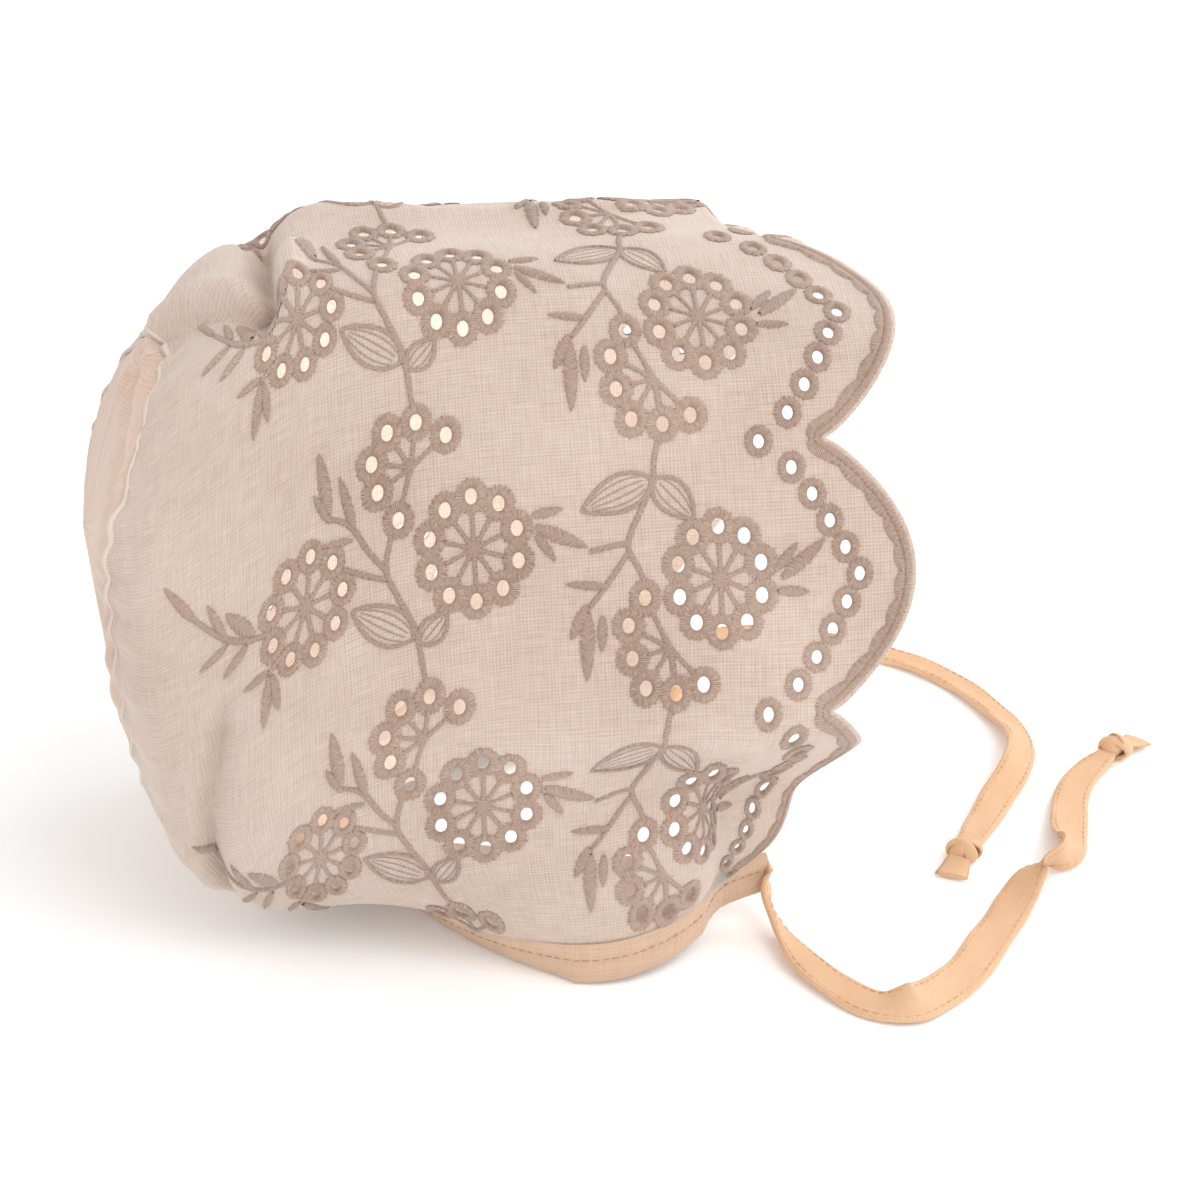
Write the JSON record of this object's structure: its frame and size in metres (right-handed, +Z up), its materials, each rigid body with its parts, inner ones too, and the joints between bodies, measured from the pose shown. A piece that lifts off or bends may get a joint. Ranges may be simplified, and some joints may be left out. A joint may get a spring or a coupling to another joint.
{
  "type": "baby bonnet",
  "caption": "Soft eyelet-cloth baby bonnet with a scalloped front edge, plain gathered back, neck binding and two loose flat ties.",
  "frame": {"origin": "on the table under the middle of the bonnet, its ties left out", "axes": "+Z up from the neck edge to the crown, +X out of the face opening, +Y to the wearer's left"},
  "size_m": [0.2472, 0.1805, 0.148],
  "materials": {
    "eyelet_cloth": "plain woven cotton with satin-stitched eyelets",
    "plain_cloth": "plain woven cotton",
    "binding_tape": "folded and topstitched",
    "tie_tape": "soft satin weave, topstitched"
  },
  "bodies": {
    "root": {"embroidered_panel": "eyelet_cloth", "back_panel": "plain_cloth", "neck_binding": "binding_tape", "tie_right": "tie_tape", "tie_left": "tie_tape", "tie_right_end": "tie_tape", "tie_left_end": "tie_tape"}
  },
  "joints": []
}
